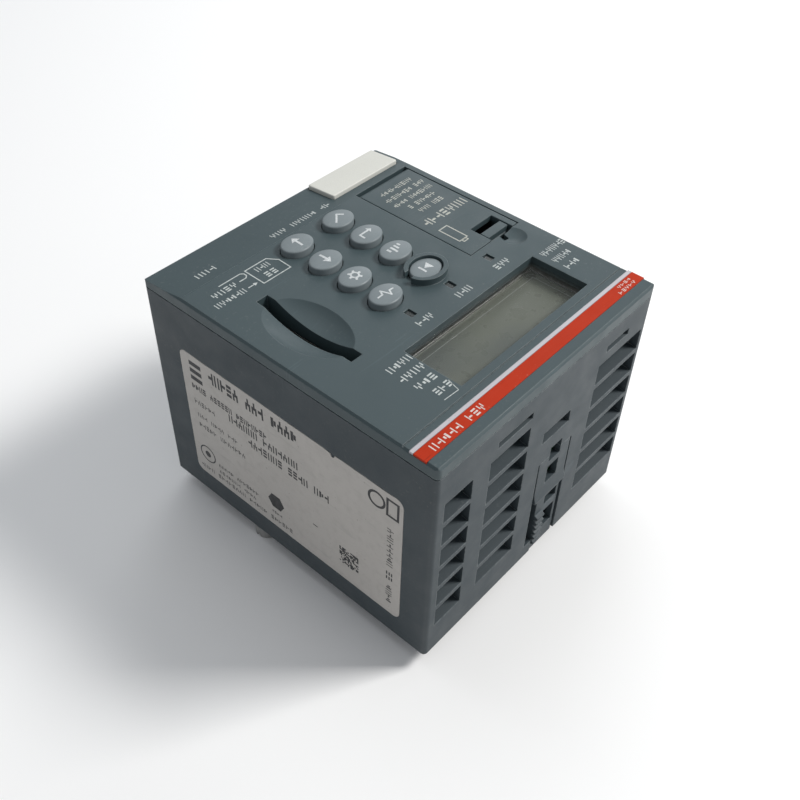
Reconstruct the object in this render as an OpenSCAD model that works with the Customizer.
// Plug-in controller module. It lies on its rear pegs with the front panel up: +X is the panel's
// right, +Y is the panel's top, +Z points out of the panel, and z = 0 is the tips of the pegs.

/* [Module] */
// Width across the rail
module_w = 67.5; // [64:0.5:90]
// Height of the housing, from its lower to its upper face
module_h = 76; // [76:0.5:96]
// Depth, from the tips of the rear pegs to the tops of the keys
module_d = 62; // [60:0.5:76]
// How far the rear pegs stand out of the housing's rim
peg_len = 4.3; // [3.8:0.1:6]
// Radius of the rear pegs
peg_r = 2.2; // [1.6:0.1:2.6]
// Distance between the rear pegs across the module
peg_span_x = 47; // [40:0.5:48]
// Distance between the rear pegs along the module
peg_span_y = 63.6; // [60:0.2:64]

/* [Housing] */
// Thickness of the housing's walls
wall = 2; // [1.6:0.1:2.4]
// Radius of the upright corners
corner_r = 1; // [0.6:0.1:2]
// Height of the front cover's side skirt
cover_skirt = 2.6; // [2.2:0.1:3.4]
// Thickness of the front panel
cover_plate = 2.2; // [1.8:0.1:2.4]
// Depth of the cover's inner lip below the seam
cover_lip = 2; // [1:0.1:3]
// Width of the shadow gap at the seam
seam_gap = 0.25; // [0.1:0.05:0.5]
// Bevel along the panel's edges
edge_bevel = 0.45; // [0.2:0.05:0.8]
// Drop of the marker strip from its crease to the lower edge
strip_drop = 1; // [0.4:0.1:1.2]
// Width of the marker strip
strip_w = 11.3; // [10:0.1:12]

/* [Vents] */
// Distance between louvre rows
louvre_pitch = 6.35; // [5.5:0.05:7.5]
// Thickness of a louvre blade at its outer edge
louvre_edge = 1.1; // [0.8:0.1:1.6]
// How far a blade reaches inwards
louvre_run = 3.2; // [2.4:0.1:3.4]
// How far a blade rises over its run
louvre_rise = 0.5; // [0:0.1:0.8]

/* [Keys] */
// Half length of a key across the module
key_a = 3.75; // [3:0.05:4.5]
// Half width of a key along the module
key_b = 2.95; // [2.4:0.05:3.6]
// Distance between key rows
key_pitch = 8.05; // [7.6:0.05:8.2]
// Distance between the two key columns
key_columns = 12; // [10.5:0.1:13]
// Height of a key above the panel
key_rise = 1.8; // [1.2:0.1:2.4]
// Travel of a key
key_travel = 0.8; // [0.4:0.1:1]
// Gap all round a key in its hole
key_gap = 0.2; // [0.1:0.05:0.3]

/* [Display] */
// Length of the display window
display_w = 39.7; // [36:0.1:44]
// Height of the display window
display_h = 13.5; // [10:0.1:14.5]
// Depth of the lens below the panel
lens_depth = 1.3; // [0.8:0.1:1.6]

/* [Battery door] */
// Width of the battery door
door_w = 15.85; // [14.5:0.05:19.2]
// Thickness of the battery door
door_t = 1.5; // [1.2:0.1:1.8]
// Gap all round the door
door_gap = 0.25; // [0.15:0.05:0.4]
// Radius of the door's hinge pintles
pintle_r = 0.7; // [0.5:0.05:0.8]
// Radial clearance of a pintle in its bore
pintle_fit = 0.05; // [0.02:0.01:0.1]
// Diameter of the coin cell
cell_d = 20; // [16:0.5:21]
// Thickness of the coin cell
cell_t = 3.2; // [2:0.1:4]

/* [Memory card] */
// Length of the card slot
slot_l = 25; // [22:0.1:26]
// Width of the card slot
slot_w = 2.9; // [2.4:0.1:3.2]
// Depth of the finger dish at the slot
dish_depth = 2.2; // [1.2:0.1:2.6]
// Travel of the card ejector
ejector_travel = 6; // [3:0.5:6]

/* [Release latches] */
// Width of a release latch
latch_w = 10.55; // [9:0.05:11]
// Distance of the latches' centre from the module's centre
latch_x = -5.08; // [-8:0.02:-3]
// Height of a latch's hinge above the rim
latch_rise = 29.9; // [28:0.1:31]
// Thickness of a latch
latch_t = 1.5; // [1.2:0.1:1.8]
// Gap beside a latch
latch_gap = 0.5; // [0.4:0.05:0.6]
// How far the grip stands out of the housing
latch_proud = 0.5; // [0.2:0.1:0.8]

/* [Label and tag] */
// Length of the side label
label_l = 60.6; // [50:0.2:62]
// Height of the side label
label_h = 36.2; // [30:0.2:38]
// Thickness of the side label
label_t = 0.15; // [0.1:0.05:0.2]
// Length of the marker tag
tag_l = 20.7; // [18:0.1:22]
// Width of the marker tag
tag_w = 8; // [7:0.1:8.4]
// Thickness of the marker tag
tag_t = 1.6; // [1:0.1:2]

/* [Boards] */
// Thickness of the circuit boards
board_t = 1.6; // [1.2:0.1:2]
// Height of the processor board above the rim
cpu_rise = 16; // [14:0.5:18]
// Height of the power board above the rim
power_rise = 5.5; // [5:0.1:6]

/* [Hidden] */
$fn = 48;

// Gaps shared by the pieces: eps is a cut's overshoot, fit is between pieces of one body, and
// clear is between pieces that move past each other.
eps = 0.05;
fit = 0.1;
clear = 0.3;

// Levels
rim_z = peg_len;
panel_z = module_d - key_rise;
plate_z = panel_z - cover_plate;
seam_z = panel_z - cover_skirt;
half_w = module_w / 2;
half_h = module_h / 2;
in_w = module_w - 2 * wall;
in_h = module_h - 2 * wall;
board_w = in_w - 1.1;
board_h = in_h - 4.4;
front_board_h = in_h - 2.4;

// Panel layout along Y, from the stripe down to the marker strip
stripe_y = half_h - 2.7;
stripe_w = 2.95;
line_w = 0.9;
groove_y = stripe_y - stripe_w - line_w - 1.6;
groove_w = 0.3;
stripe_t = 0.4;
display_y = stripe_y - stripe_w - line_w - 3.35 - display_h / 2;
display_low = display_y - display_h / 2;
crease_y = -half_h + strip_w;
strip_tilt = atan(strip_drop / strip_w);

// Panel layout along X
display_x = -half_w + 9.65 + display_w / 2;
key_x = [0.88 - key_columns / 2, 0.88 + key_columns / 2];
slot_x = half_w - 10.9;
slot_y = display_low - 17.5;
led_x = [-half_w + 16.1, key_x[0] - 0.3, key_x[1] - 0.25];
led_y = display_low - 6.3;
led_l = 2.2;
led_w = 1.6;

// Keys
key_row_y = [for (i = [0:3]) display_low - 12.4 - i * key_pitch];
key_flange_z = plate_z - fit;
key_flange_t = 0.9;
key_flange = (key_pitch - 2 * key_b) / 4;
key_stem_l = 1.4;
key_stem_r = 1.2;
dome_r = 26;
guard_rise = 1.5;
guard_t = 0.95;
guard_notch = 1.7;
run_rise = 1.35;

// Battery door
door_x0 = -half_w + wall + 0.15;
door_x1 = door_x0 + door_w;
hinge_y = crease_y + door_t + 0.2;
hinge_z = panel_z - door_t;
pintle_l = 1;
door_y1 = display_low - 9.45;
recess_x0 = door_x0 + 1.6;
recess_x1 = door_x0 + 8.7;
recess_y = door_y1 - 5.7;
catch_w = recess_x1 - recess_x0 - 0.5;
catch_l = 2.15;
catch_y = door_y1 - 1.05;
catch_t = 0.9;
rail_t = 0.65;
strap_t = 0.8;
scoop_r = 3;
scoop_depth = 0.9;
scoop_y = door_y1 + 2.3;
scoop_x = door_x0 + 4.4;

// Battery
holder_t = 1;
holder_z1 = panel_z - door_t - catch_t - 2 * fit - strap_t - clear;
holder_x0 = door_x0 + 0.4;
holder_x1 = door_x1 - 0.3;
holder_y0 = hinge_y + 2.2;
holder_y1 = door_y1 - 0.6;
holder_z0 = holder_z1 - cell_d - 3;
cell_x = (holder_x0 + holder_x1) / 2;
cell_y = (holder_y0 + holder_y1) / 2;
cell_z = holder_z0 + holder_t + 1.6 + cell_d / 2;
frame_w = cell_t + 6;
frame_l = cell_d + 3.4;

// Boards, from the front down and from the rim up
front_board_z = plate_z - 6.2;
cpu_z = rim_z + cpu_rise;
power_z = rim_z + power_rise;
base_z = rim_z + 1;
base_t = 2;
boss_x = in_w / 2 - 2.35;
boss_y = in_h / 2 - 2.4;
boss_r = 2.6;
boss_l = 4.2;
screw_r = 1.2;
screw_fit = 0.05;
screw_head_r = 2.1;
screw_head_t = 1.2;

// Card socket
socket_wall = 0.3;
socket_in_w = slot_w;
socket_in_l = slot_l + 1.8;
boss_drop = 2.9;
boss_side = 1.9;
socket_z1 = plate_z - boss_drop - fit - 0.2;
socket_base_t = 4.1;
socket_z0 = cpu_z + board_t + socket_base_t;
ejector_w = 2.2;
ejector_bar = 1.3;
ejector_foot = 8;
ejector_t = 1.5;
ejector_z = socket_z0 + ejector_travel + 2;
spring_turns = 6;
spring_r = 0.8;
spring_wire = 0.22;

// Release latches
latch_z1 = rim_z + latch_rise;
latch_z0 = rim_z - 0.5;
latch_hinge_gap = 0.15;
latch_x0 = latch_x - latch_w / 2;
latch_x1 = latch_x + latch_w / 2;
step_z = rim_z + 17.7;
step_ramp = 2.6;
grip_x1 = latch_x1 - 2.5;
grip_w = 2.5;
lower_set = 0.4;
latch_frame = 0.8;
tooth_pitch = 1.6;
tooth_n = 6;
neck_x0 = latch_x - 1.9;
neck_x1 = latch_x + 2;
neck_up = 2.3;
neck_down = 1.9;
port_h = 5;
port_drop = 3.4;
slit_z0 = rim_z + 12.3;
slit_z1 = rim_z + 15.2;
hole_z0 = rim_z + 4;
hole_z1 = rim_z + 10;
catch_lip = 1.3;

// Vents: column edges and rows, the short slots above two columns, the slot above the latch
vent_z1 = panel_z - 10.7;
vent_rows = floor((vent_z1 - rim_z - 6) / louvre_pitch);
short_z1 = panel_z - 6.7;
short_h = 2.2;
vent_columns = [[half_w - 10.35, half_w - 2.45], [latch_x1 + 6, half_w - 15.35],
  [-half_w + 1.75, latch_x0 - 5.95]];
short_slots = [[vent_columns[1][0], vent_columns[1][1] - 1.8],
  [-half_w + 7.65, -half_w + 15.5]];
centre_slot = [latch_x - 3.1, latch_x + 6];
centre_z0 = latch_z1 + neck_up + 2.9;
centre_z1 = vent_z1 - louvre_pitch + 0.4;

// Display stack, from its frame's floor up to the underside of the lens
lens_flange = 1;
lcd_w = display_w + 1.6;
lcd_h = display_h + 1.6;
lcd_side = 1.1;
lcd_floor = front_board_z + board_t;
lcd_top = plate_z - fit - lens_flange - 0.15;
lcd_lid = 0.4;
lcd_t = 1.1;

// Posts between the boards, beside the display's frame
board_screw_r = 1.6;
post_x = lcd_w / 2 + lcd_side - display_x + clear + board_screw_r;
post_y = board_h / 2 - 5.3;
post_r = 2.2;

// Marker tag on the strip, and the label's centre on the right-hand face
tag_x0 = -half_w + 1.75;
tag_low = -tag_w - 2.5;
tag_sunk = 0.7;
label_y = 0.7;
label_z = panel_z - 13.9 - label_h / 2;

// Rear plugs
plug_w = 8;
plug_l = 44;
plug_y = 24;
plug_z0 = 0.6;
plug_floor = 2;
pin_pitch = 2.54;
pin_w = 0.64;
side_plug_x = in_w / 2 - 3.9;
side_plug_y = -21.7;
earth_x = in_w / 2 - 1.35;
earth_y = -11.3;
earth_head_r = 2.9;
earth_head_t = 3;
earth_shaft_r = 1.2;

// ---- Shared shapes ----

module rounded_rect(w, h, r) {
  square([w - 2 * r, h], center = true);
  square([w, h - 2 * r], center = true);
  for (x = [-1, 1], y = [-1, 1])
    translate([x * (w / 2 - r), y * (h / 2 - r)]) circle(r);
}

// A box given by its two opposite corners
module span(low, high) {
  translate(low) cube(high - low);
}

// A profile in Y and Z, drawn out along X from x0 to x1
module along_x(x0, x1) {
  translate([x0, 0, 0]) rotate([90, 0, 90]) linear_extrude(x1 - x0) children();
}

// A profile in X and Z, drawn out along Y from y0 to y1
module along_y(y0, y1) {
  translate([0, y1, 0]) rotate([90, 0, 0]) linear_extrude(y1 - y0) children();
}

module rod_x(x0, x1, y, z, r) {
  translate([x0, y, z]) rotate([0, 90, 0]) cylinder(h = x1 - x0, r = r);
}

module oval(a, b) {
  steps = 48;
  polygon([for (i = [0:steps - 1]) let (t = 360 * i / steps) [a * cos(t), b * sin(t)]]);
}

// The pieces at the upper and the lower face are mirror images
module both_faces() {
  children();
  mirror([0, 1, 0]) children();
}

module at_corners(x, y) {
  for (sx = [-1, 1], sy = [-1, 1]) translate([sx * x, sy * y, 0]) children();
}

// Puts a piece drawn on the flat panel onto the tilted marker strip
module on_strip() {
  translate([0, crease_y, panel_z]) rotate([strip_tilt, 0, 0]) children();
}

// ---- Housing ----

// One louvre blade below a slot whose lower edge is at z
module blade(x0, x1, z) {
  along_x(x0 - clear, x1 + clear)
    polygon([[half_h, z], [half_h, z + louvre_edge],
      [half_h - louvre_run, z + louvre_edge + louvre_rise], [half_h - louvre_run, z + louvre_rise]]);
}

module vent_cut(x0, x1, z0, z1) {
  span([x0, half_h - wall - eps, z0], [x1, half_h + eps, z1]);
}

module upper_vents_cut() {
  for (c = vent_columns)
    vent_cut(c[0], c[1], vent_z1 - vent_rows * louvre_pitch + louvre_edge / 2, vent_z1);
  vent_cut(centre_slot[0], centre_slot[1], centre_z0 + louvre_edge / 2, centre_z1);
  for (s = short_slots) vent_cut(s[0], s[1], short_z1 - short_h, short_z1);
}

module upper_blades() {
  for (c = vent_columns, i = [1:vent_rows]) blade(c[0], c[1], vent_z1 - i * louvre_pitch);
  blade(centre_slot[0], centre_slot[1], centre_z0);
  for (s = short_slots) blade(s[0], s[1], short_z1 - short_h - louvre_edge / 2);
}

// The opening that the release latch swings in, with the neck window above it
module latch_cut() {
  pad_z = rim_z + 3.5;
  vent_cut(latch_x0 - latch_gap, latch_x1 + latch_gap, pad_z, latch_z1);
  vent_cut(latch_x0 - latch_gap, grip_x1 + latch_gap, rim_z - eps, pad_z + eps);
  vent_cut(neck_x0, neck_x1, latch_z1 - eps, latch_z1 + neck_up);
}

module housing() {
  top_z = seam_z - seam_gap;
  color([0.33, 0.38, 0.40]) {
    difference() {
      translate([0, 0, rim_z]) linear_extrude(top_z - rim_z) rounded_rect(module_w, module_h, corner_r);
      span([-in_w / 2, -in_h / 2, rim_z - eps], [in_w / 2, in_h / 2, top_z + eps]);
      span([-(module_w - wall) / 2, -(module_h - wall) / 2, seam_z - cover_lip - fit],
        [(module_w - wall) / 2, (module_h - wall) / 2, top_z + eps]);
      both_faces() upper_vents_cut();
      both_faces() latch_cut();
      translate([half_w - label_t, label_y, label_z]) rotate([90, 0, 90])
        linear_extrude(wall) rounded_rect(label_l + 2 * fit, label_h + 2 * fit, 2);
    }
    both_faces() upper_blades();
    difference() {
      at_corners(boss_x, boss_y) translate([0, 0, base_z + base_t + fit]) cylinder(h = boss_l, r = boss_r);
      at_corners(boss_x, boss_y) translate([0, 0, base_z]) cylinder(h = 2 * boss_l, r = screw_r + screw_fit);
      difference() {
        span([-module_w, -module_h, base_z], [module_w, module_h, base_z + 2 * boss_l]);
        span([-half_w + fit, -half_h + fit, base_z - eps], [half_w - fit, half_h - fit, base_z + 3 * boss_l]);
      }
    }
  }
}

// ---- Front cover ----

module cover_outline() {
  low_z = panel_z - strip_drop;
  intersection() {
    translate([0, 0, seam_z]) linear_extrude(cover_skirt) rounded_rect(module_w, module_h, corner_r);
    along_x(-half_w, half_w)
      polygon([[-half_h, seam_z], [half_h, seam_z], [half_h, panel_z - edge_bevel],
        [half_h - edge_bevel, panel_z], [crease_y, panel_z],
        [-half_h + edge_bevel, low_z], [-half_h, low_z - edge_bevel]]);
    along_y(-half_h, half_h)
      polygon([[-half_w, seam_z], [half_w, seam_z], [half_w, panel_z - edge_bevel],
        [half_w - edge_bevel, panel_z], [-half_w + edge_bevel, panel_z],
        [-half_w, panel_z - edge_bevel]]);
  }
}

// The lip that plugs into the housing
module cover_lip_ring() {
  out_w = module_w - wall - 2 * fit;
  out_h = module_h - wall - 2 * fit;
  difference() {
    span([-out_w / 2, -out_h / 2, seam_z - cover_lip], [out_w / 2, out_h / 2, seam_z + eps]);
    span([-in_w / 2, -in_h / 2, seam_z - cover_lip - eps], [in_w / 2, in_h / 2, seam_z + 2 * eps]);
  }
}

// A shallow barrel-shaped dish for the fingertip, round about an axis along Y
module finger_dish() {
  dish_a = 6.6;
  dish_b = 10.5;
  across_r = (pow(dish_a, 2) + pow(dish_depth, 2)) / (2 * dish_depth);
  along_r = (pow(dish_b, 2) + pow(dish_depth, 2)) / (2 * dish_depth);
  translate([slot_x, slot_y, panel_z + across_r - dish_depth]) rotate([90, 0, 0])
    rotate_extrude($fn = 96) intersection() {
      translate([across_r - along_r, 0]) circle(along_r, $fn = 96);
      translate([0, -dish_b - 1]) square([across_r + 1, 2 * dish_b + 2]);
    }
}

module scoop() {
  ball_r = (pow(scoop_r, 2) + pow(scoop_depth, 2)) / (2 * scoop_depth);
  translate([scoop_x, scoop_y, panel_z + ball_r - scoop_depth]) sphere(ball_r);
}

module key_positions() {
  for (x = key_x, y = key_row_y) translate([x, y, 0]) children();
}

// The guard stands round the run key and is open on one side
module run_guard() {
  translate([key_x[0], key_row_y[0], panel_z - eps]) difference() {
    linear_extrude(guard_rise + eps) oval(key_a + key_gap + guard_t, key_b + key_gap + guard_t);
    span([0, -guard_notch, eps], [2 * key_a, guard_notch * 0.2, 2 * guard_rise]);
  }
}

module door_opening() {
  span([door_x0 - door_gap, hinge_y - door_t - door_gap, plate_z - eps],
    [door_x1 + door_gap, door_y1 + door_gap, panel_z + eps]);
}

module front_cover() {
  lug_w = 2.2;
  ledge_w = 1.1;
  color([0.34, 0.40, 0.41]) difference() {
    union() {
      difference() {
        cover_outline();
        span([-in_w / 2, -in_h / 2, seam_z - eps], [in_w / 2, in_h / 2, plate_z]);
        door_opening();
      }
      cover_lip_ring();
      run_guard();
      span([slot_x - slot_w / 2 - boss_side, slot_y - slot_l / 2 - boss_side, plate_z - boss_drop],
        [slot_x + slot_w / 2 + boss_side, slot_y + slot_l / 2 + boss_side, plate_z + eps]);
      span([door_x1 + door_gap, hinge_y - 1.8, plate_z - 1.6],
        [door_x1 + door_gap + lug_w, hinge_y + 1.8, plate_z + eps]);
      span([door_x1 - ledge_w, hinge_y + 6, plate_z],
        [door_x1 + door_gap + eps, hinge_y + 20, panel_z - door_t - fit]);
    }
    rod_x(door_x0 - door_gap - pintle_l, door_x1 + door_gap + pintle_l, hinge_y, hinge_z,
      pintle_r + pintle_fit);
    key_positions() translate([0, 0, plate_z - eps])
      linear_extrude(3 * cover_plate) oval(key_a + key_gap, key_b + key_gap);
    span([display_x - display_w / 2, display_low, plate_z - eps],
      [display_x + display_w / 2, display_low + display_h, panel_z + eps]);
    for (x = led_x)
      span([x - led_w / 2, led_y - led_l / 2, plate_z - eps],
        [x + led_w / 2, led_y + led_l / 2, panel_z + eps]);
    span([-module_w, stripe_y - stripe_w - line_w, panel_z - stripe_t], [module_w, stripe_y, panel_z + 1]);
    span([-module_w, groove_y, panel_z - 0.25], [module_w, groove_y + groove_w, panel_z + 1]);
    finger_dish();
    span([slot_x - slot_w / 2, slot_y - slot_l / 2, plate_z - boss_drop - eps],
      [slot_x + slot_w / 2, slot_y + slot_l / 2, panel_z + eps]);
    scoop();
    span([scoop_x + 0.3, door_y1, plate_z - eps], [scoop_x + 2, door_y1 + 1.6, panel_z + eps]);
    on_strip() tag_pocket();
  }
}

module colour_stripe() {
  color([0.78, 0.22, 0.10])
    span([-half_w + fit, stripe_y - stripe_w + fit / 2, panel_z - stripe_t],
      [half_w - fit, stripe_y - fit / 2, panel_z + fit / 2]);
}

module stripe_line() {
  color([0.82, 0.82, 0.84])
    span([-half_w + fit, stripe_y - stripe_w - line_w + fit / 2, panel_z - stripe_t],
      [half_w - fit, stripe_y - stripe_w - fit / 2, panel_z + fit / 2]);
}

// ---- Marker tag and side label ----

module tag_pocket() {
  span([tag_x0 - fit, tag_low - fit, -tag_sunk], [tag_x0 + tag_l + fit, tag_low + tag_w + fit, tag_t]);
}

module marker_tag() {
  color([0.86, 0.87, 0.83]) on_strip() translate([tag_x0 + tag_l / 2, tag_low + tag_w / 2, -tag_sunk])
    linear_extrude(tag_t) rounded_rect(tag_l, tag_w, 0.5);
}

module side_label() {
  color([0.80, 0.80, 0.78]) translate([half_w - label_t, label_y, label_z])
    rotate([90, 0, 90]) linear_extrude(label_t) rounded_rect(label_l, label_h, 1.8);
}

// ---- Display ----

module display_lens() {
  ledge = 1.3;
  color([0.75, 0.82, 0.80, 0.4]) {
    translate([display_x, display_y, plate_z - fit - lens_flange]) linear_extrude(lens_flange)
      rounded_rect(display_w + 2 * ledge, display_h + 2 * ledge, 0.5);
    translate([display_x, display_y, plate_z - fit - eps])
      linear_extrude(cover_plate - lens_depth + fit + eps)
        rounded_rect(display_w - 2 * fit, display_h - 2 * fit, 0.2);
  }
}

module lcd_frame() {
  color([0.55, 0.56, 0.57]) difference() {
    span([display_x - lcd_w / 2 - lcd_side, display_y - lcd_h / 2 - lcd_side, lcd_floor],
      [display_x + lcd_w / 2 + lcd_side, display_y + lcd_h / 2 + lcd_side, lcd_top]);
    span([display_x - lcd_w / 2, display_y - lcd_h / 2, lcd_floor - eps],
      [display_x + lcd_w / 2, display_y + lcd_h / 2, lcd_top - lcd_lid]);
    span([display_x - display_w / 2 - 0.3, display_y - display_h / 2 - 0.3, lcd_floor],
      [display_x + display_w / 2 + 0.3, display_y + display_h / 2 + 0.3, lcd_top + eps]);
  }
}

module lcd_glass() {
  z1 = lcd_top - lcd_lid - fit;
  color([0.42, 0.44, 0.40])
    span([display_x - lcd_w / 2 + fit, display_y - lcd_h / 2 + fit, z1 - lcd_t],
      [display_x + lcd_w / 2 - fit, display_y + lcd_h / 2 - fit, z1]);
}

module backlight() {
  z1 = lcd_top - lcd_lid - 2 * fit - lcd_t;
  color([0.9, 0.9, 0.86])
    span([display_x - lcd_w / 2 + fit, display_y - lcd_h / 2 + fit, lcd_floor],
      [display_x + lcd_w / 2 - fit, display_y + lcd_h / 2 - fit, z1]);
}

// ---- Keys ----

// A key at a column and a row: domed head, retaining flange and stem
module key(column, row, rise) {
  top_z = panel_z + rise;
  color([0.49, 0.52, 0.53]) translate([key_x[column], key_row_y[row], 0]) {
    intersection() {
      translate([0, 0, key_flange_z - key_flange_t]) linear_extrude(top_z - key_flange_z + key_flange_t + 1)
        oval(key_a, key_b);
      translate([0, 0, top_z - dome_r]) sphere(dome_r, $fn = 96);
    }
    translate([0, 0, key_flange_z - key_flange_t]) linear_extrude(key_flange_t)
      oval(key_a + key_flange, key_b + key_flange);
    translate([0, 0, key_flange_z - key_flange_t - key_stem_l])
      cylinder(h = key_stem_l + eps, r = key_stem_r);
  }
}

module key_enter() { key(0, 3, key_rise); }
module key_escape() { key(0, 2, key_rise); }
module key_value() { key(0, 1, key_rise); }
module key_run() { key(0, 0, run_rise); }
module key_down() { key(1, 3, key_rise); }
module key_up() { key(1, 2, key_rise); }
module key_setup() { key(1, 1, key_rise); }
module key_diagnosis() { key(1, 0, key_rise); }

module key_switches() {
  switch_w = 4.5;
  base_z0 = front_board_z + board_t;
  z1 = key_flange_z - key_flange_t - key_stem_l - key_travel - 0.15;
  color([0.18, 0.18, 0.19]) key_positions() {
    translate([0, 0, base_z0]) linear_extrude(z1 - base_z0 - 0.3) square(switch_w, center = true);
    translate([0, 0, z1 - 0.3 - eps]) cylinder(h = 0.3 + eps, r = 1.1);
  }
}

module status_light_pipes() {
  color([0.25, 0.28, 0.28]) for (x = led_x) {
    span([x - led_w / 2 + fit, led_y - led_l / 2 + fit, front_board_z + board_t + 1.1],
      [x + led_w / 2 - fit, led_y + led_l / 2 - fit, panel_z - 0.35]);
    span([x - led_w / 2 - 0.6, led_y - led_l / 2 - 0.6, plate_z - fit - 0.7],
      [x + led_w / 2 + 0.6, led_y + led_l / 2 + 0.6, plate_z - fit]);
  }
}

module status_leds() {
  color([0.9, 0.9, 0.8]) for (x = led_x)
    span([x - 0.7, led_y - 0.9, front_board_z + board_t],
      [x + 0.7, led_y + 0.9, front_board_z + board_t + 0.9]);
}

// ---- Battery door and battery ----

module battery_door() {
  under_z = panel_z - door_t;
  rail_z = under_z - catch_t - 2 * fit;
  color([0.34, 0.40, 0.41]) difference() {
    union() {
      span([door_x0, hinge_y, under_z], [door_x1, door_y1, panel_z]);
      rod_x(door_x0, door_x1, hinge_y, hinge_z, door_t);
      rod_x(door_x0 - door_gap - pintle_l + fit, door_x1 + door_gap + pintle_l - fit, hinge_y, hinge_z,
        pintle_r);
      for (x = [recess_x0 - 0.5 - rail_t, recess_x1 + 0.5])
        span([x, recess_y, rail_z - strap_t], [x + rail_t, door_y1 - 0.4, under_z + eps]);
      span([recess_x0 - 0.5 - rail_t, catch_y - catch_l / 2 - 0.5, rail_z - strap_t],
        [recess_x1 + 0.5 + rail_t, catch_y - catch_l / 2 + 0.5, rail_z]);
    }
    span([recess_x0, recess_y, under_z - eps], [recess_x1, door_y1 + eps, panel_z + eps]);
  }
}

// The catch slides on the door, below its plate, and shows in the door's recess
module door_latch() {
  under_z = panel_z - door_t;
  color([0.42, 0.47, 0.49]) {
    span([recess_x0 - 0.4, catch_y - catch_l - 0.2, under_z - catch_t - fit],
      [recess_x1 + 0.4, door_y1 - 0.9, under_z - fit]);
    span([recess_x0 + 0.25, catch_y - catch_l, under_z - fit - eps],
      [recess_x0 + 0.25 + catch_w, catch_y, panel_z - fit]);
  }
}

module battery_holder() {
  color([0.20, 0.21, 0.22]) difference() {
    span([holder_x0, holder_y0, holder_z0], [holder_x1, holder_y1, holder_z1]);
    span([holder_x0 + holder_t, holder_y0 + holder_t, holder_z0 + holder_t],
      [holder_x1 - holder_t, holder_y1 - holder_t, holder_z1 + eps]);
  }
}

module battery_frame() {
  z0 = holder_z0 + holder_t + 0.5;
  z1 = holder_z1 - 1;
  tab_w = 8;
  color([0.24, 0.25, 0.26]) difference() {
    span([cell_x - frame_w / 2, cell_y - frame_l / 2, z0], [cell_x + frame_w / 2, cell_y + frame_l / 2, z1]);
    rod_x(cell_x - cell_t / 2 - fit, cell_x + frame_w, cell_y, cell_z, cell_d / 2 + fit);
    for (side = [-1, 1])
      span([cell_x - frame_w, cell_y + side * (frame_l + tab_w) / 4 - (frame_l - tab_w) / 4 - eps, z1 - 1.5],
        [cell_x - 1, cell_y + side * (frame_l + tab_w) / 4 + (frame_l - tab_w) / 4 + eps, z1 + eps]);
  }
}

module battery_cell() {
  rim = 0.3;
  color([0.72, 0.73, 0.74]) {
    rod_x(cell_x - cell_t / 2, cell_x + cell_t / 2 - rim, cell_y, cell_z, cell_d / 2);
    rod_x(cell_x + cell_t / 2 - rim - eps, cell_x + cell_t / 2, cell_y, cell_z, cell_d / 2 - 1.2);
  }
}

module battery_contacts() {
  z0 = holder_z0 + holder_t;
  color([0.78, 0.65, 0.35]) for (y = [-6, 6]) {
    span([cell_x - 2.5, cell_y + y - 1.5, z0], [cell_x + 2.5, cell_y + y + 1.5, z0 + 0.4]);
  }
}

// ---- Memory card socket ----

module socket_ring(z0, z1, grow_in, grow_out) {
  span_x = socket_in_w / 2;
  span_y = socket_in_l / 2;
  difference() {
    span([slot_x - span_x - grow_out, slot_y - span_y - grow_out, z0],
      [slot_x + span_x + grow_out, slot_y + span_y + grow_out, z1]);
    span([slot_x - span_x - grow_in, slot_y - span_y - grow_in, z0 - eps],
      [slot_x + span_x + grow_in, slot_y + span_y + grow_in, z1 + eps]);
  }
}

module card_socket_base() {
  z0 = cpu_z + board_t;
  color([0.16, 0.16, 0.17]) {
    span([slot_x - socket_in_w / 2 - 1.4, slot_y - socket_in_l / 2 - 1.4, z0],
      [slot_x + socket_in_w / 2 + 1.4, slot_y + socket_in_l / 2 + 1.4, socket_z0]);
    socket_ring(socket_z0 - eps, socket_z0 + 3, socket_wall + fit, 1.4);
  }
}

module card_socket_shell() {
  color([0.75, 0.76, 0.77]) socket_ring(socket_z0, socket_z1, 0, socket_wall);
}

module card_contacts() {
  count = 9;
  pitch = 2.2;
  x0 = slot_x - socket_in_w / 2;
  color([0.85, 0.70, 0.30]) for (i = [0:count - 1])
    span([x0, slot_y - 11 + i * pitch, socket_z0], [x0 + 0.2, slot_y - 10 + i * pitch, socket_z0 + 7]);
}

module card_ejector() {
  bar_y = slot_y + socket_in_l / 2 - fit - ejector_bar;
  bar_l = 14;
  color([0.86, 0.84, 0.78]) {
    span([slot_x - ejector_w / 2, bar_y, ejector_z],
      [slot_x + ejector_w / 2, bar_y + ejector_bar, ejector_z + bar_l]);
    span([slot_x - ejector_w / 2, bar_y - ejector_foot, ejector_z],
      [slot_x + ejector_w / 2, bar_y + eps, ejector_z + ejector_t]);
  }
}

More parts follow.
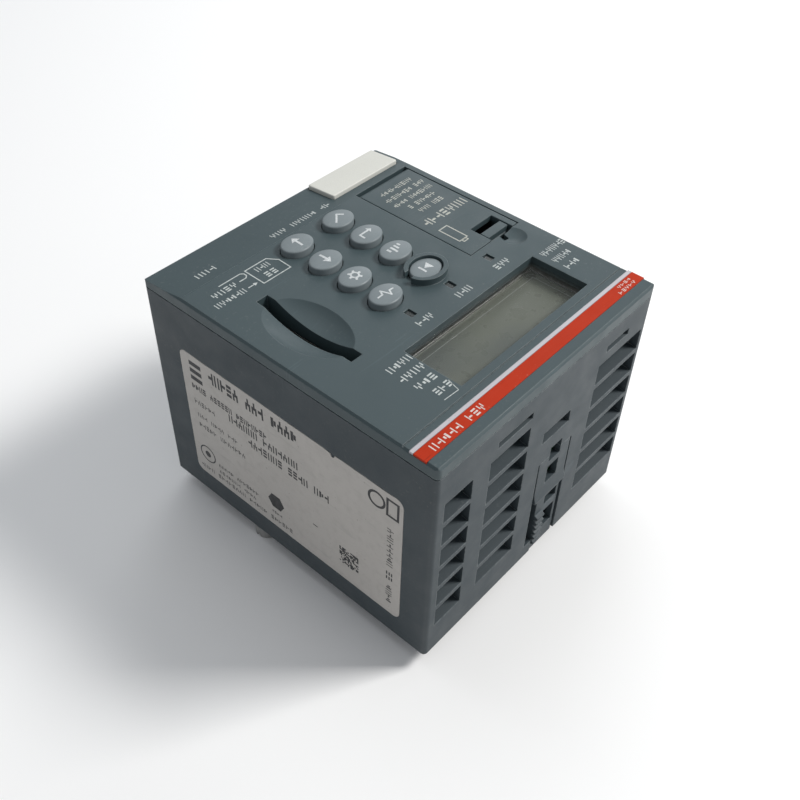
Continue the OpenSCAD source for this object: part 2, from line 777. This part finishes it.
// Compression spring below the ejector: a helix swept with a square wire
module ejector_spring() {
  steps = 10;
  n = spring_turns * steps;
  lead = (ejector_z - socket_z0 - 4 * spring_wire) / n;
  z0 = socket_z0 + 2 * spring_wire;
  ring = [[-1, -1], [1, -1], [1, 1], [-1, 1]];
  points = [for (i = [0:n], p = ring) let (t = i * 360 / steps, r = spring_r + p[0] * spring_wire)
    [r * cos(t), r * sin(t), z0 + i * lead + p[1] * spring_wire]];
  sides = [for (i = [0:n - 1], k = [0:3]) let (a = 4 * i + k, b = 4 * i + (k + 1) % 4)
    each [[a, a + 4, b + 4], [a, b + 4, b]]];
  caps = [[0, 1, 2], [0, 2, 3], [4 * n + 3, 4 * n + 2, 4 * n + 1], [4 * n + 3, 4 * n + 1, 4 * n]];
  color([0.7, 0.71, 0.72]) translate([slot_x, slot_y + socket_in_l / 2 - 1.8, 0])
    polyhedron(points, concat(sides, caps), convexity = 10);
}

// ---- Release latches ----

module upper_latch() {
  low_x0 = latch_x0;
  port_x1 = grip_x1 - grip_w - 0.4;
  face = half_h - lower_set;
  color([0.33, 0.38, 0.40]) {
    difference() {
      along_x(latch_x0, latch_x1)
        polygon([[half_h - latch_t, latch_z1 - latch_hinge_gap], [half_h, latch_z1 - latch_hinge_gap],
          [half_h, step_z + step_ramp], [half_h + latch_proud, step_z + 0.6], [half_h + latch_proud, step_z],
          [half_h - latch_t, step_z]]);
      vent_cut(neck_x0, neck_x1, latch_z1 - neck_down, latch_z1 + 1);
      vent_cut(neck_x0, neck_x1, latch_z1 - port_drop - port_h, latch_z1 - port_drop);
    }
    difference() {
      span([low_x0, face - latch_t, latch_z0], [grip_x1, face, step_z + latch_t]);
      vent_cut(low_x0 + latch_frame, port_x1, slit_z0, slit_z1);
      vent_cut(low_x0 + latch_frame, port_x1, hole_z0, hole_z1);
    }
    for (z = [for (i = [0:tooth_n - 1]) rim_z + 1.6 + i * tooth_pitch]) along_x(grip_x1 - grip_w, grip_x1)
      polygon([[face - eps, z], [half_h + latch_proud, z + 0.6], [half_h + latch_proud, z + 1],
        [face - eps, z + tooth_pitch]]);
    along_x(low_x0, grip_x1)
      polygon([[face - latch_t - catch_lip, latch_z0], [face - latch_t + eps, latch_z0],
        [face - latch_t + eps, latch_z0 + 2.2], [face - latch_t - catch_lip, latch_z0 + 1]]);
  }
}

module lower_latch() {
  mirror([0, 1, 0]) upper_latch();
}

// ---- Rear base, plugs and pegs ----

module latch_notch() {
  span([latch_x0 - 1, in_h / 2 - 4.2, 0], [latch_x1 + 1, in_h, base_z + base_t + 1]);
}

module plug_window(x, y, w, l) {
  span([x - w / 2 - fit, y - l / 2 - fit, base_z - eps],
    [x + w / 2 + fit, y + l / 2 + fit, base_z + base_t + eps]);
}

module rear_base() {
  color([0.30, 0.34, 0.36]) difference() {
    union() {
      span([-in_w / 2 + fit, -in_h / 2 + fit, base_z], [in_w / 2 - fit, in_h / 2 - fit, base_z + base_t]);
      at_corners(peg_span_x / 2, peg_span_y / 2) {
        tip = 0.5;
        cylinder(h = tip, r1 = peg_r - tip, r2 = peg_r);
        translate([0, 0, tip]) cylinder(h = base_z - tip + eps, r = peg_r);
      }
      at_corners(post_x, post_y) translate([0, 0, base_z + base_t - eps])
        cylinder(h = power_z - base_z - base_t + eps, r = post_r);
    }
    both_faces() latch_notch();
    plug_window(0, plug_y, plug_l, plug_w);
    plug_window(0, -plug_y, plug_l, plug_w);
    plug_window(side_plug_x, side_plug_y, plug_w - 1, plug_w);
    at_corners(boss_x, boss_y) {
      translate([0, 0, base_z - eps]) cylinder(h = base_t + 1, r = screw_r + 0.2);
      translate([0, 0, base_z - eps]) cylinder(h = screw_head_t + 0.2, r = screw_head_r + 0.15);
    }
    translate([earth_x, earth_y, base_z - eps]) cylinder(h = base_t + 1, r = earth_shaft_r + fit);
  }
}

// A plug shell that hangs from the power board and is open towards the rear
module plug_shell(x, y, w, l) {
  skin = 0.9;
  color([0.10, 0.10, 0.11]) difference() {
    span([x - w / 2, y - l / 2, plug_z0], [x + w / 2, y + l / 2, power_z]);
    span([x - w / 2 + skin, y - l / 2 + skin, plug_z0 - eps],
      [x + w / 2 - skin, y + l / 2 - skin, power_z - plug_floor]);
  }
}

module bus_plug() { plug_shell(0, plug_y, plug_l, plug_w); }
module io_plug() { plug_shell(0, -plug_y, plug_l, plug_w); }
module side_plug() { plug_shell(side_plug_x, side_plug_y, plug_w - 1, plug_w); }

// Contact pins stand in the plugs, from just inside the mouth up to the plug's floor
module pin_field(x, y, columns, rows) {
  for (i = [0:columns - 1], j = [0:rows - 1])
    translate([x + (i - (columns - 1) / 2) * pin_pitch, y + (j - (rows - 1) / 2) * pin_pitch, plug_z0 + 1])
      linear_extrude(power_z - plug_floor - plug_z0 - 1) square(pin_w, center = true);
}

module plug_contacts() {
  color([0.85, 0.70, 0.30]) {
    pin_field(0, plug_y, 15, 2);
    pin_field(0, -plug_y, 15, 2);
    pin_field(side_plug_x, side_plug_y, 2, 2);
  }
}

module earth_contact() {
  slot = 0.8;
  color([0.72, 0.72, 0.70]) translate([earth_x, earth_y, 0]) {
    difference() {
      cylinder(h = earth_head_t, r = earth_head_r);
      span([-earth_head_r, -slot / 2, -eps], [earth_head_r, slot / 2, slot]);
    }
    translate([0, 0, earth_head_t - eps]) cylinder(h = power_z - earth_head_t + eps, r = earth_shaft_r);
  }
}

module case_screws() {
  color([0.62, 0.63, 0.65]) at_corners(boss_x, boss_y) difference() {
    union() {
      translate([0, 0, base_z + 0.1]) cylinder(h = screw_head_t, r = screw_head_r);
      translate([0, 0, base_z + screw_head_t]) cylinder(h = boss_l + 0.4, r = screw_r);
    }
    for (turn = [0, 90]) rotate([0, 0, turn])
      span([-1.2, -0.3, base_z], [1.2, 0.3, base_z + 0.9]);
  }
}

// ---- Boards ----

module board_blank(w, h, z) {
  difference() {
    span([-w / 2, -h / 2, z], [w / 2, h / 2, z + board_t]);
    at_corners(post_x, post_y) translate([0, 0, z - 1]) cylinder(h = board_t + 2, r = 1.3);
  }
}

module front_board() {
  color([0.10, 0.32, 0.18]) difference() {
    board_blank(board_w, front_board_h, front_board_z);
    span([-module_w, holder_y0 - 0.5, 0], [holder_x1 + 0.5, holder_y1 + 0.5, module_d]);
    span([slot_x - socket_in_w / 2 - 0.8, slot_y - socket_in_l / 2 - 0.8, 0],
      [slot_x + socket_in_w / 2 + 0.8, slot_y + socket_in_l / 2 + 0.8, module_d]);
  }
}

module cpu_board() {
  color([0.10, 0.32, 0.18]) board_blank(board_w, board_h, cpu_z);
}

module power_board() {
  color([0.10, 0.32, 0.18]) difference() {
    board_blank(board_w, board_h, power_z);
    at_corners(boss_x, boss_y) cylinder(h = module_d, r = boss_r + 0.4);
  }
}

module board_posts() {
  stud_r = 1.2;
  gap = 0.05;
  color([0.78, 0.68, 0.38]) at_corners(post_x, post_y) {
    translate([0, 0, power_z + board_t]) cylinder(h = cpu_z - power_z - board_t, r = post_r, $fn = 6);
    translate([0, 0, power_z + gap]) cylinder(h = 3, r = stud_r);
    translate([0, 0, cpu_z + board_t]) cylinder(h = front_board_z - cpu_z - board_t, r = post_r, $fn = 6);
    translate([0, 0, cpu_z - gap]) cylinder(h = board_t + 2 * gap, r = stud_r);
  }
}

module board_screws() {
  color([0.62, 0.63, 0.65]) at_corners(post_x, post_y) {
    translate([0, 0, front_board_z + board_t]) cylinder(h = 1, r = board_screw_r);
    translate([0, 0, front_board_z + 0.1]) cylinder(h = board_t, r = 1.2);
  }
}

module board_connector() {
  color([0.12, 0.12, 0.13])
    span([-16, board_h / 2 - 12, power_z + board_t], [14, board_h / 2 - 7, cpu_z]);
}

// A flat cable between the processor board and the front board, with a slack bow
module ribbon_cable() {
  z0 = cpu_z + board_t;
  z1 = front_board_z;
  bow = 2.5;
  steps = 16;
  thick = 0.6;
  function bow_y(i) = board_h / 2 - 6 - bow * sin(180 * i / steps);
  color([0.75, 0.75, 0.74]) along_x(-2, 14)
    polygon(concat([for (i = [0:steps]) [bow_y(i), z0 + (z1 - z0) * i / steps]],
      [for (i = [steps:-1:0]) [bow_y(i) + thick, z0 + (z1 - z0) * i / steps]]));
}

module processor() {
  color([0.12, 0.12, 0.13]) span([-9, -11, cpu_z + board_t], [9, 7, cpu_z + board_t + 2.2]);
}

module memory_chips() {
  color([0.12, 0.12, 0.13]) for (i = [0:2])
    span([-26, -16 + i * 12, cpu_z + board_t], [-14, -8 + i * 12, cpu_z + board_t + 1.2]);
}

module power_capacitors() {
  color([0.20, 0.22, 0.30]) for (i = [0:2])
    translate([-20, -13 + i * 11, power_z + board_t]) cylinder(h = 7.6, r = 4);
}

module power_transformer() {
  z0 = power_z + board_t;
  core_h = 8;
  color([0.20, 0.19, 0.18]) difference() {
    span([2, -12, z0], [20, 6, z0 + core_h]);
    span([5, -13, z0 + 2], [8, 7, z0 + core_h - 2]);
    span([14, -13, z0 + 2], [17, 7, z0 + core_h - 2]);
  }
}

housing();
front_cover();
rear_base();
colour_stripe();
stripe_line();
display_lens();
lcd_frame();
lcd_glass();
backlight();
front_board();
key_switches();
status_light_pipes();
status_leds();
battery_door();
door_latch();
battery_holder();
battery_frame();
battery_cell();
battery_contacts();
card_socket_base();
card_socket_shell();
card_contacts();
card_ejector();
ejector_spring();
key_enter();
key_escape();
key_value();
key_run();
key_up();
key_down();
key_setup();
key_diagnosis();
upper_latch();
lower_latch();
cpu_board();
power_board();
board_posts();
board_connector();
ribbon_cable();
processor();
memory_chips();
power_capacitors();
power_transformer();
bus_plug();
io_plug();
side_plug();
plug_contacts();
earth_contact();
case_screws();
board_screws();
side_label();
marker_tag();
